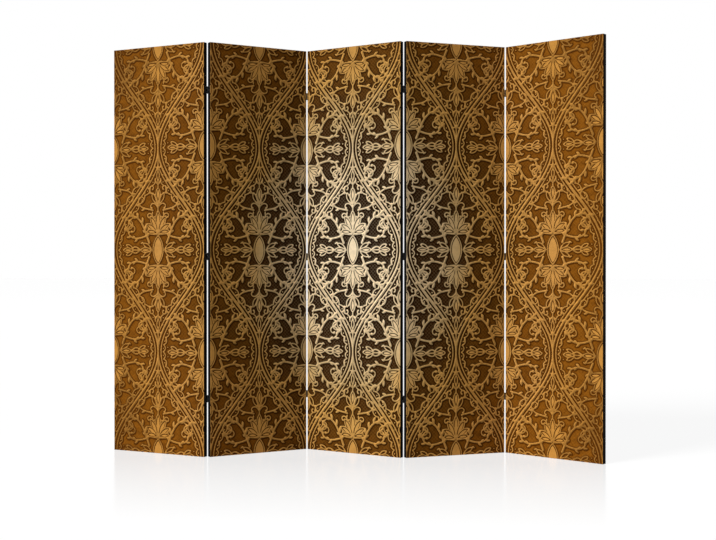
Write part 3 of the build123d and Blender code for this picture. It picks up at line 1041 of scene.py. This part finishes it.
@dataclass
class CanvasCover:
    """The printed canvas of one panel: the front, the sides and the hem on the back."""

    place: PanelPlace
    width: float = 450.0
    height: float = 1720.0
    depth: float = 24.5
    rim: float = 1.8
    back_rim: float = 0.8
    fullness: float = 0.5
    hem: float = 30.0
    hem_middle: float = 14.0
    side_start: tuple = (-0.2, 9.0)
    full_from: float = 17.0
    fold_share: float = 0.3
    pitch: float = 453.0
    columns: int = 150
    rows: int = 560
    slack: float = 0.45
    room_slopes: tuple = (9.0, 30.0)
    pull_waves: float = 11.0
    pull_reach: float = 150.0
    swell_waves: tuple = (0.008, 0.012)
    flap_side_inset: float = 0.7
    flap_front_inset: float = 1.4
    flap_margin: float = 2.0
    flap_draw: float = 0.35 / 6
    flap_layers: tuple = (0.9, 0.4)
    baked_front: float = 0.45
    baked_wrap: float = 0.1
    baked_flap: tuple = (0.46, 0.03)

    def front_lines(self) -> tuple[np.ndarray, np.ndarray]:
        """The columns' places across and the rows' heights above the middle, on the flat front.

        Returns:
            The columns' places and the rows' heights.
        """
        half_across, half_up = self.width / 2 - self.rim, self.height / 2 - self.rim
        across = np.linspace(-half_across, half_across, self.columns + 1)
        return across, np.linspace(-half_up, half_up, self.rows + 1)

    def profile(self) -> np.ndarray:
        """How the cloth goes round the edge: inset, depth, and length of cloth past the front.

        It follows a quarter circle at the rim, the side, which stands a little proud where the cloth
        is pulled to the back, a tighter quarter circle there, and the hem.

        Returns:
            Three numbers to a ring.
        """
        turn = np.radians([30, 60, 90])
        front = np.stack([self.rim * (1 - np.sin(turn)), self.rim * (1 - np.cos(turn))], 1)
        full = -self.fullness
        sides = [self.side_start, (full, self.full_from), (full, self.depth - self.back_rim)]
        fold = self.fold_share * self.back_rim
        back = [(fold - self.fullness, self.depth - fold), (self.back_rim, self.depth)]
        back += [(self.hem_middle, self.depth), (self.hem, self.depth)]
        path = np.concatenate([[(self.rim, 0.0)], front, sides, back])
        length = np.concatenate([[0], np.cumsum(np.linalg.norm(np.diff(path, axis=0), axis=1))])
        return np.column_stack([path, length])[1:]

    def edge_numbers(self) -> np.ndarray:
        """The numbers of the front's edge points, once round from the lower left corner.

        Returns:
            The point numbers, each once.
        """
        number = np.arange((self.rows + 1) * (self.columns + 1)).reshape(self.rows + 1, -1)
        runs = [number[0, :-1], number[:-1, -1], number[-1, :0:-1], number[:0:-1, 0]]
        return np.concatenate(runs)

    def sag(self, across: np.ndarray, up: np.ndarray) -> np.ndarray:
        """How far the front lies back: nought at the rim, with faint pulls towards the corners.

        Each pull is a sine across the diagonal that dies away from its corner as a bell curve.

        Args:
            across: The points' places across, from the middle.
            up: The points' heights above the middle.

        Returns:
            One depth to a point.
        """
        side, rise = np.abs(across) / (self.width / 2), np.abs(up) / (self.height / 2)
        steep_side, steep_end = self.room_slopes
        room = np.clip((1 - side) * steep_side, 0, 1) * np.clip((1 - rise) * steep_end, 0, 1)
        from_corner = np.hypot((1 - side) * self.width / 2, (1 - rise) * self.height / 2)
        angle = np.arctan2((1 - rise) * self.height, (1 - side) * self.width)
        pulls = (1 + np.sin(angle * self.pull_waves)) * np.exp(-((from_corner / self.pull_reach) ** 2))
        swell = 0.5 * (1 + np.sin(across * self.swell_waves[0] + up * self.swell_waves[1]))
        return self.slack * room * (pulls + swell) / 2

    def pleats(self) -> Shape:
        """The four folded corners: thin three-cornered flaps on the panel's two ends.

        A flap's outline is a right triangle whose long side slants from the front corner to the
        back. It is carried from the sunken end out to the panel's full height, and drawn in there.

        Returns:
            The four flaps as one shape, about the panel's middle.
        """
        side, front = self.width / 2 - self.flap_side_inset, self.flap_front_inset
        reach = self.depth - self.flap_margin
        outline = np.array([(side, front), (side, front + reach), (side - reach, front + reach)])
        drawn = outline + (outline.mean(0) - outline) * self.flap_draw
        low, middle = (share * self.fullness for share in self.flap_layers)
        layers = ((outline, low), (outline, middle), (drawn, 0.0))
        flap = np.concatenate([np.column_stack([o, np.full(3, self.height / 2 - z)]) for o, z in layers])
        faces = [*grid_faces(3, 3, round_columns=True).tolist(), [2, 1, 0], [6, 7, 8]]
        corners = [np.array([x, 1, z]) for x in (-1, 1) for z in (-1, 1)]
        return joined([outward((flap * corner, faces)) for corner in corners])

    def rings(self, edge: np.ndarray, half: np.ndarray) -> np.ndarray:
        """The edge profile carried round the front's outline, with the corners mitred.

        Each ring is the outline grown or shrunk to its inset. The two ends lie a little deeper, which
        leaves room for the folded corners.

        Args:
            edge: The outline's points.
            half: Half the outline's width and height.

        Returns:
            Points by ring and by place along the outline.
        """
        profile = self.profile()
        sides = self.width / 2 - profile[:, 0]
        ends = self.height / 2 - np.maximum(profile[:, 0], self.fullness)
        rings = np.empty((len(profile), len(edge), 3))
        rings[..., 0] = edge[:, 0] * (sides / half[0])[:, None]
        rings[..., 1] = profile[:, 1, None]
        rings[..., 2] = edge[:, 2] * (ends / half[1])[:, None]
        return rings

    def flap_tables(self, flaps: np.ndarray, half: np.ndarray) -> dict[str, np.ndarray]:
        """The tables of the flaps' points, which are plain cloth past the panel's edge.

        Args:
            flaps: The flaps' points.
            half: Half the front outline's width and height.

        Returns:
            Their tables, under the same names as the cover's.
        """
        plain = np.full(len(flaps), Ornament.clear)
        reach, spread = self.baked_flap
        ends = np.sign(flaps[:, 2]) * (reach + spread * flaps[:, 1] / self.depth)
        return {
            "points": flaps,
            "cloth": flaps[:, :2] * MM,
            "baked": np.column_stack([0.5 + reach * flaps[:, 0] / half[0], 0.5 + ends]),
            "wrap": np.full(len(flaps), self.depth),
            "line": plain,
            "petal": plain,
            "relief": np.zeros(len(flaps)),
        }

    def tables(self, print_fields: tuple[np.ndarray, ...]) -> tuple[dict[str, np.ndarray], list[list[int]]]:
        """Works out the cover's points, what the finish needs at each of them, and its faces.

        Args:
            print_fields: The ornament's three fields over the front's grid.

        Returns:
            Tables by name, each with a row to a point, and the faces.
        """
        across, up = self.front_lines()
        half = np.array([across[-1], up[-1]])
        wide, tall = np.meshgrid(across, up)
        front = np.stack([wide, self.sag(wide, tall), tall], 2).reshape(-1, 3)
        edge = self.edge_numbers()
        rings = self.rings(front[edge], half)
        past = self.profile()[:, 2]
        home = np.concatenate([np.arange(len(front)), np.tile(edge, len(past))])
        length = np.concatenate([np.zeros(len(front)), np.repeat(past, len(edge))])
        flat, turned = front[home][:, [0, 2]], length[:, None]
        tables = {
            "points": np.concatenate([front, rings.reshape(-1, 3)]),
            "cloth": flat * (1 + turned / half) * MM + [(self.place.number - 3) * self.pitch * MM, 0.0],
            "baked": 0.5 + self.baked_front * flat / half * (1 + self.baked_wrap * turned / past[-1]),
            "wrap": length,
        }
        named = zip(("line", "petal", "relief"), print_fields)
        tables |= {name: values.ravel()[home] for name, values in named}
        ring_numbers = len(front) + np.arange(len(past) * len(edge)).reshape(len(past), -1)
        number = np.concatenate([edge[None], ring_numbers])
        band = number.ravel()[grid_faces(len(number), len(edge), round_columns=True)][:, ::-1]
        faces = np.concatenate([grid_faces(self.rows + 1, self.columns + 1), band]).tolist()
        flaps, flap_faces = self.pleats()
        faces += [[n + len(home) for n in face] for face in flap_faces]
        flap_tables = self.flap_tables(flaps, half)
        return {name: np.concatenate([rows, flap_tables[name]]) for name, rows in tables.items()}, faces

    def build(self, print_fields: tuple[np.ndarray, ...], material: bpy.types.Material) -> bpy.types.Object:
        """Args:
            print_fields: The ornament's three fields over the front's grid.
            material: The printed canvas.

        Returns:
            The finished piece.
        """
        tables, faces = self.tables(print_fields)
        piece = make_piece(
            f"{self.place.body}_printed_canvas",
            self.place.to_row(tables["points"] + [0.0, 0.0, self.height / 2]),
            faces,
            material,
            {"OFBake": tables["baked"], "cloth": tables["cloth"]},
            {name: tables[name] for name in ("line", "petal", "relief", "wrap")},
        )
        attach(piece, self.place.body)
        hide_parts(f"{self.place.body}_canvas")
        return piece


@dataclass
class BackCloth:
    """The thin cloth stapled over the back, a little slack between its staples."""

    place: PanelPlace
    width: float = 434.0
    height: float = 1704.0
    middle: float = 860.0
    outer_depth: float = 24.97
    staple_pitch: float = 75.0
    wave_depth: float = 0.4
    wave_reach: float = 34.0
    hollow_depth: float = 1.6
    crease_depth: float = 0.25
    crease_waves: tuple = (0.03, 0.011)
    rail_half: float = 30.0
    bay: float = 775.0
    fray: float = 0.0012
    fray_waves: float = 0.09
    fray_band: float = 3.0
    columns: int = 108
    rows: int = 420

    def waves(self, run: np.ndarray, gap: np.ndarray) -> np.ndarray:
        """A shallow wave to each staple along the run, which dies away with the gap to the edge."""
        return (1 - np.cos(2 * np.pi * run / self.staple_pitch)) / 2 * np.exp(-gap / self.wave_reach)

    def build(self, material: bpy.types.Material) -> bpy.types.Object:
        """Builds the cloth.

        Its depth is the outer one less two things: shallow waves along the edge, one to a staple,
        that die away inwards, and a soft hollow in each of the two bays between the rails.

        Args:
            material: The black cloth.

        Returns:
            The finished piece.
        """
        half_x, half_z = self.width / 2, self.height / 2
        across = np.linspace(-half_x, half_x, self.columns + 1)
        up = np.linspace(-half_z, half_z, self.rows + 1)
        wide, tall = np.meshgrid(across, up)
        from_side, from_end = half_x - np.abs(wide), half_z - np.abs(tall)
        edge = np.maximum(self.waves(tall, from_side), self.waves(wide, from_end))
        bay = np.sin(np.pi * np.clip(np.abs(tall) - self.rail_half, 0, self.bay) / self.bay)
        hollow = np.clip(np.sin(np.pi * (wide / self.width + 0.5)), 0, 1) ** 2 * bay**0.7
        crease = np.sin(wide * self.crease_waves[0] + tall * self.crease_waves[1]) * hollow
        depth = self.outer_depth - self.wave_depth * edge
        depth -= self.hollow_depth * hollow + self.crease_depth * crease
        fray = 1 + self.fray * np.sin(tall * self.fray_waves) * (np.abs(wide) > half_x - self.fray_band)
        points = np.stack([wide * fray, depth, tall + self.middle], 2).reshape(-1, 3)
        cloth = np.stack([wide, tall], 2).reshape(-1, 2) * MM
        faces = grid_faces(self.rows + 1, self.columns + 1)[:, ::-1]
        name = f"{self.place.body}_back_cloth"
        piece = make_piece(name, self.place.to_row(points), faces, material, {"cloth": cloth})
        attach(piece, self.place.body)
        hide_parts(f"{self.place.body}_back_cover")
        return piece


@dataclass
class StapleRing:
    """The staples round the back of one panel."""

    place: PanelPlace
    half_width: float = 209.0
    half_height: float = 844.0
    middle: float = 860.0
    face: float = 25.0
    pitch: float = 75.0
    crown: float = 10.0
    shown_leg: float = 1.6
    wire: float = 0.3
    flatness: float = 1.7
    shoulder: tuple = (0.6, 0.18)
    end_room: float = 36.0
    tilt_degrees: float = 4.0
    wander: float = 0.9
    first_seed: int = 40

    def one(self) -> tuple[np.ndarray, np.ndarray]:
        """One staple's points, with its crown along X, and its faces.

        A flattened six-sided section is carried along the leg, a rounded shoulder, the crown and
        the other leg. The section turns with the wire.

        Returns:
            The points and the faces.
        """
        half, lift, (start, bend) = self.crown / 2, self.wire, self.shoulder
        left = [(-half, -self.shown_leg), (-half, lift - start)]
        left += [(bend - half, lift - bend), (start - half, lift)]
        path = np.array(left + [(-across, up) for across, up in left[::-1]])
        heading = np.gradient(path, axis=0)
        heading /= np.linalg.norm(heading, axis=1)[:, None]
        side = np.stack([-heading[:, 1], heading[:, 0]], 1)
        turn = np.arange(6) * np.pi / 3
        ring = self.wire * np.stack([np.cos(turn), self.flatness * np.sin(turn)], 1)
        points = np.empty((len(path), 6, 3))
        points[..., 0] = path[:, None, 0] + side[:, None, 0] * ring[None, :, 0]
        points[..., 1] = path[:, None, 1] + side[:, None, 1] * ring[None, :, 0]
        points[..., 2] = ring[None, :, 1]
        return points.reshape(-1, 3), grid_faces(len(path), 6, round_columns=True)[:, ::-1]

    def spots(self) -> np.ndarray:
        """Each staple's place across and up, and whether it stands upright.

        The staples are spaced as evenly as the pitch allows along all four sides.

        Returns:
            Three numbers to a staple.
        """
        tall, wide = (
            np.linspace(-half + self.end_room, half - self.end_room, round(2 * half / self.pitch))
            for half in (self.half_height, self.half_width)
        )
        sides = [(side * self.half_width, z, 1.0) for side in (-1, 1) for z in tall]
        ends = [(x, side * self.half_height, 0.0) for side in (-1, 1) for x in wide]
        return np.array(sides + ends)

    def build(self, material: bpy.types.Material) -> bpy.types.Object:
        """Copies the staple to every spot, each a few degrees off true and slightly out of line.

        Args:
            material: The wire's finish.

        Returns:
            The finished piece.
        """
        chance = np.random.default_rng(self.first_seed + self.place.number)
        shape, faces = self.one()
        spots = self.spots()
        angle = spots[:, 2] * np.pi / 2 + np.radians(chance.normal(0, self.tilt_degrees, len(spots)))
        middles = spots[:, :2] + chance.normal(0, self.wander, (len(spots), 2))
        cos, sin = np.cos(angle)[:, None], np.sin(angle)[:, None]
        points = np.empty((len(spots), len(shape), 3))
        points[..., 0] = middles[:, :1] + cos * shape[:, 0] - sin * shape[:, 2]
        points[..., 1] = self.face + shape[:, 1]
        points[..., 2] = self.middle + middles[:, 1:] + sin * shape[:, 0] + cos * shape[:, 2]
        copies = (np.arange(len(spots)) * len(shape))[:, None, None] + faces
        name = f"{self.place.body}_staple_ring"
        place = self.place.to_row(points.reshape(-1, 3))
        piece = make_piece(name, place, copies.reshape(-1, 4), material, sharp_degrees=50)
        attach(piece, self.place.body)
        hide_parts(f"{self.place.body}_staples")
        return piece


@dataclass(frozen=True)
class Hinge:
    """One pinned hinge about the Z axis, with a leaf on the +X side whose plate lies towards +Y."""

    barrel_height: float = 30.0
    barrel_radius: float = 2.0
    bore_radius: float = 1.05
    knuckle_gap: float = 0.2
    leaf_inner: float = 1.5
    leaf_outer: float = 0.5
    leaf_reach: float = 19.6
    plate_start: float = 1.3
    notch: float = 2.3
    corner: float = 3.0
    ease: float = 0.2
    sides: int = 24
    dome: tuple = ((1.0, 0.0), (1.7, 0.0), (1.7, 0.25), (1.3, 0.48), (0.6, 0.6))
    screw_places: tuple = ((7.1, 9.0), (14.1, -9.0))
    screw_turns: tuple = (0.35, 1.05)
    head_radii: tuple = (0.25, 0.55, 0.85, 1.15, 1.45, 1.9, 2.3, 2.5)
    head_rise: float = 0.22
    recess_half: float = 0.36
    recess_reach: float = 1.5
    recess_face: float = 0.03
    shank: tuple = ((1.5, 1.5), (13.5, 1.5), (16.3, 0.2))

    def knuckle(self, number: int) -> Shape:
        """One of the three tubes of the barrel, with eased rims.

        Args:
            number: 0, 1 or 2, from the bottom.

        Returns:
            The closed tube.
        """
        size = (self.barrel_height - 2 * self.knuckle_gap) / 3
        low = -self.barrel_height / 2 + number * (size + self.knuckle_gap)
        high, out, ease = low + size, self.barrel_radius, self.ease
        rims = [(out - ease, low), (out, low + ease), (out, high - ease), (out - ease, high)]
        return revolved([(self.bore_radius, low), *rims, (self.bore_radius, high)], self.sides, ring=True)

    def outline(self, holds_pin: bool) -> np.ndarray:
        """The plate's outline, as distance from the pin and height, with rounded outer corners.

        It starts close to the barrel where it carries a knuckle, and steps back where it clears one.

        Args:
            holds_pin: Whether the leaf has the two end knuckles.

        Returns:
            The corners, once round.
        """
        half, near, back = self.barrel_height / 2, self.plate_start, self.notch
        step = (self.barrel_height - 2 * self.knuckle_gap) / 6 + self.knuckle_gap
        turn = np.radians([0, 30, 60, 90])
        right = self.leaf_reach - self.corner + self.corner * np.sin(turn)
        up = half - self.corner + self.corner * np.cos(turn)
        outer = np.concatenate([np.stack([right, up], 1), np.stack([right[::-1], -up[::-1]], 1)])
        ends, middle = (near, back) if holds_pin else (back, near)
        inner = [(ends, -half), (ends, -step), (middle, -step), (middle, step), (ends, step), (ends, half)]
        return np.concatenate([outer, inner])

    def plate(self, holds_pin: bool) -> Shape:
        """The plate: its outline carried through the sheet's thickness, drawn in at the eased rim.

        The drawn-in outline moves each corner along the sum of its two edges' inward normals.

        Args:
            holds_pin: Whether the leaf has the two end knuckles.

        Returns:
            The closed plate.
        """
        rim = self.outline(holds_pin)
        runs = np.roll(rim, -1, axis=0) - rim
        runs /= np.linalg.norm(runs, axis=1)[:, None]
        normals = np.stack([runs[:, 1], -runs[:, 0]], 1)
        before = np.roll(normals, 1, axis=0)
        mitre = (normals + before) / (1 + (normals * before).sum(1))[:, None]
        drawn = rim + mitre * self.ease
        layers = ((drawn, self.leaf_outer), (rim, self.leaf_outer + self.ease), (rim, self.leaf_inner))
        points = np.concatenate([np.column_stack([np.full(len(r), x), r]) for r, x in layers])
        faces = grid_faces(3, len(rim), round_columns=True).tolist()
        last = range(2 * len(rim), 3 * len(rim))
        return outward((points, faces + [list(range(len(rim)))[::-1], list(last)]))

    def leaf(self, holds_pin: bool) -> Shape:
        """A leaf with its knuckles: the two end ones where it holds the pin, or else the middle one."""
        numbers = (0, 2) if holds_pin else (1,)
        return joined([self.plate(holds_pin), *[self.knuckle(number) for number in numbers]])

    def pin(self) -> Shape:
        """The pin, with a low dome riveted over at each end.

        Returns:
            The closed pin.
        """
        end = self.barrel_height / 2
        upper = [(radius, end + rise) for radius, rise in self.dome]
        lower = [(radius, -height) for radius, height in upper[::-1]]
        return revolved([*lower, *upper], self.sides)

    def screw(self) -> Shape:
        """A raised countersunk screw along +X, with a cross recess in its head.

        The head's face is a grid of angle and radius. Its height is a low dome, less a dip where
        the point is near either arm of the cross.

        Returns:
            The closed screw.
        """
        radii, below = np.array(self.head_radii), np.array(self.shank)
        turn = np.arange(self.sides) * 2 * np.pi / self.sides
        wide, angle = np.meshgrid(radii, turn, indexing="ij")
        arm = np.minimum(np.abs(np.sin(angle)), np.abs(np.cos(angle))) * wide
        dip = (arm < self.recess_half) & (wide < self.recess_reach)
        rise = self.head_rise * (1 - (wide / radii[-1]) ** 2)
        face = self.leaf_outer - np.where(dip, self.recess_face, rise)
        head = np.stack([face, wide * np.cos(angle), wide * np.sin(angle)], 2)
        shank = np.empty((len(below), self.sides, 3))
        shank[..., 0] = below[:, 0, None]
        shank[..., 1] = below[:, 1, None] * np.cos(turn)
        shank[..., 2] = below[:, 1, None] * np.sin(turn)
        points = np.concatenate([head, shank])
        rows, count = points.shape[:2]
        faces = grid_faces(rows, count, round_columns=True).tolist()
        faces += [list(range(count))[::-1], list(range((rows - 1) * count, rows * count))]
        return outward((points.reshape(-1, 3), faces))

    def screws(self) -> Shape:
        """The two screws of one leaf, each turned a little differently.

        Returns:
            Both screws as one shape.
        """
        points, faces = self.screw()
        shapes = []
        for (depth, height), turn in zip(self.screw_places, self.screw_turns):
            cos, sin = math.cos(turn), math.sin(turn)
            spun = points @ np.array([[1, 0, 0], [0, cos, sin], [0, -sin, cos]])
            shapes.append((spun + [0, depth, height], faces))
        return joined(shapes)


@dataclass
class HingeRow:
    """The three hinges of one joint."""

    joint: int
    left: PanelPlace
    right: PanelPlace
    fold: Fold
    heights: tuple[float, ...] = (240.0, 832.0, 1524.0)
    pin_side: float = 226.5

    def mirrored(self, on_left_panel: bool) -> np.ndarray:
        """The half turn that brings a hinge's leaf to a panel's edge, as three signs.

        Args:
            on_left_panel: Whether the leaf is the left panel's.

        Returns:
            A sign for each axis.
        """
        if self.fold is Fold.MOUNTAIN:
            return np.array([-1.0, -1.0, 1.0] if on_left_panel else [1.0, -1.0, -1.0])
        return np.array([-1.0, 1.0, -1.0] if on_left_panel else [1.0, 1.0, 1.0])

    def placed(self, shape: Shape, on_left_panel: bool) -> Shape:
        """Copies a hinge's shape to each height, in the row frame.

        Args:
            shape: The hinge's shape about its pin.
            on_left_panel: Whether the leaf is the left panel's.

        Returns:
            The copies as one shape.
        """
        panel, side = (self.left, self.pin_side) if on_left_panel else (self.right, -self.pin_side)
        turned = shape[0] * self.mirrored(on_left_panel)
        copies = [(turned + [side, self.fold.value, height], shape[1]) for height in self.heights]
        points, faces = joined(copies)
        return panel.to_row(points), faces

    def build(self, finishes: dict[str, bpy.types.Material]) -> list[bpy.types.Object]:
        """Builds the leaves, screws and pins.

        Args:
            finishes: The materials by the record's slot names.

        Returns:
            The five pieces.
        """
        hinge = Hinge()
        parts = (
            ("left_leaves", hinge.leaf(True), True, "black_hinge"),
            ("right_leaves", hinge.leaf(False), False, "black_hinge"),
            ("left_screws", hinge.screws(), True, "black_screw"),
            ("right_screws", hinge.screws(), False, "black_screw"),
            ("pins", hinge.pin(), True, "hinge_pin"),
        )
        pieces = []
        for part, shape, on_left_panel, slot in parts:
            points, faces = self.placed(shape, on_left_panel)
            name = f"joint_{self.joint}_{part}"
            piece = make_piece(name, points, faces, finishes[slot], sharp_degrees=35)
            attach(piece, (self.left if on_left_panel else self.right).body)
            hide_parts(f"hinges_{self.joint}_{part}")
            pieces.append(piece)
        return pieces


@dataclass
class Stretcher:
    """The wooden frame inside one panel, which keeps its CAD members."""

    place: PanelPlace

    def dress(self, upright: bpy.types.Material) -> None:
        """Gives the stiles upright grain and the rails grain along the panel's heading.

        Args:
            upright: The pine with upright grain.
        """
        across = Pine(Grain.ACROSS, self.place.heading).material()
        for name in (*RIM_MEMBERS, "mid_rail"):
            node = frame["nodes"][f"{self.place.body}_{name}"]
            dress_node(node, upright if name.endswith("stile") else across)


def dress_node(node: bpy.types.Object, material: bpy.types.Material) -> None:
    """Gives a CAD node a finish in its own material slots.

    Args:
        node: The CAD node's object.
        material: The finish.
    """
    if not node.material_slots:
        node.data.materials.append(material)
    for slot in node.material_slots:
        slot.material = material


@dataclass
class Studio:
    """The camera at the photograph's place, the floor and the lights, in metres and degrees."""

    eye: tuple[float, float, float] = (0.2203, -4.8888, 0.7998)
    yaw: float = 4.371
    pitch: float = -0.283
    lens: float = 58.66
    shift: float = 0.06
    key_share: float = 0.90
    key_direction: tuple[float, float, float] = (0.663, 0.557, -0.500)
    key_angle: float = 20.0
    sky: float = 0.10
    sensor: float = 36.0
    clip: tuple[float, float] = (0.05, 200.0)
    floor_reach: float = 60.0

    def camera(self) -> None:
        """Sets up the camera."""
        data = bpy.data.cameras.new("camera")
        data.lens, data.sensor_width, data.shift_x = self.lens, self.sensor, self.shift
        data.clip_start, data.clip_end = self.clip
        camera = bpy.data.objects.new("camera", data)
        camera.location = self.eye
        camera.rotation_euler = (math.radians(90 + self.pitch), 0.0, math.radians(self.yaw))
        bpy.context.scene.collection.objects.link(camera)
        bpy.context.scene.camera = camera

    def floor(self) -> None:
        """A wide white floor at the screen's feet."""
        corners = self.floor_reach * np.array([(-1, -1, 0), (1, -1, 0), (1, 1, 0), (-1, 1, 0)], float)
        floor = make_piece("floor", corners, np.array([[0, 1, 2, 3]]), StudioFloor().material())

    def lamps(self) -> None:
        """One broad soft lamp from the front left, at a level at which colours look as written."""
        data = bpy.data.lights.new("key", "SUN")
        data.energy, data.angle = self.key_share * math.pi, math.radians(self.key_angle)
        key = bpy.data.objects.new("key", data)
        direction = np.array(self.key_direction)
        flat = math.hypot(direction[0], direction[1])
        key.rotation_euler = (math.atan2(flat, -direction[2]), 0.0, math.atan2(-direction[0], direction[1]))
        bpy.context.scene.collection.objects.link(key)

    def sky_light(self) -> None:
        """A world that is white where it is seen or mirrored, and dimmer as fill."""
        world = bpy.data.worlds.new("studio")
        bpy.context.scene.world = world
        world.use_nodes = True
        nodes, links = world.node_tree.nodes, world.node_tree.links
        path = nodes.new("ShaderNodeLightPath")
        seen = path.outputs["Is Camera Ray"]
        for ray in ("Is Glossy Ray", "Is Transmission Ray"):
            either = nodes.new("ShaderNodeMath")
            either.operation = "MAXIMUM"
            links.new(seen, either.inputs[0])
            links.new(path.outputs[ray], either.inputs[1])
            seen = either.outputs[0]
        level = nodes.new("ShaderNodeMapRange")
        level.inputs["To Min"].default_value = self.sky
        links.new(seen, level.inputs["Value"])
        background = nodes["Background"]
        background.inputs["Color"].default_value = (1.0, 1.0, 1.0, 1.0)
        links.new(level.outputs[0], background.inputs["Strength"])

    def build(self) -> None:
        """Sets up the whole studio and the plain view transform."""
        self.camera()
        self.floor()
        self.lamps()
        self.sky_light()
        bpy.context.scene.view_settings.view_transform = "Standard"


def report(pieces: Sequence[bpy.types.Object]) -> None:
    """Logs each piece's name and how many faces it has.

    Args:
        pieces: The pieces that were built.
    """
    for piece in pieces:
        LOG.info("%s: %d faces", piece.name, len(piece.data.polygons))


def main() -> None:
    """Builds the studio, then each panel and each joint's hinges, and reports every piece."""
    logging.basicConfig(level=logging.INFO, format="%(name)s: %(message)s")
    Studio().build()
    places = StandingPlan().places()
    printed, backing = PrintedCanvas().material(), NonWovenCloth().material()
    wire, upright = BrightSteel("staple_wire").material(), Pine(Grain.UPRIGHT).material()
    print_fields = Ornament().at(*CanvasCover(places[0]).front_lines())
    for place in places:
        cover = CanvasCover(place).build(print_fields, printed)
        report([cover, BackCloth(place).build(backing), StapleRing(place).build(wire)])
        Stretcher(place).dress(upright)
    finishes = {
        "black_hinge": BlackEnamel("hinge_enamel").material(),
        "black_screw": BlackEnamel("screw_enamel", 0.4).material(),
        "hinge_pin": BrightSteel("hinge_pin").material(),
    }
    for joint, fold in enumerate(StandingPlan.folds, start=1):
        report(HingeRow(joint, places[joint - 1], places[joint], fold).build(finishes))


if __name__ == "__main__":
    main()
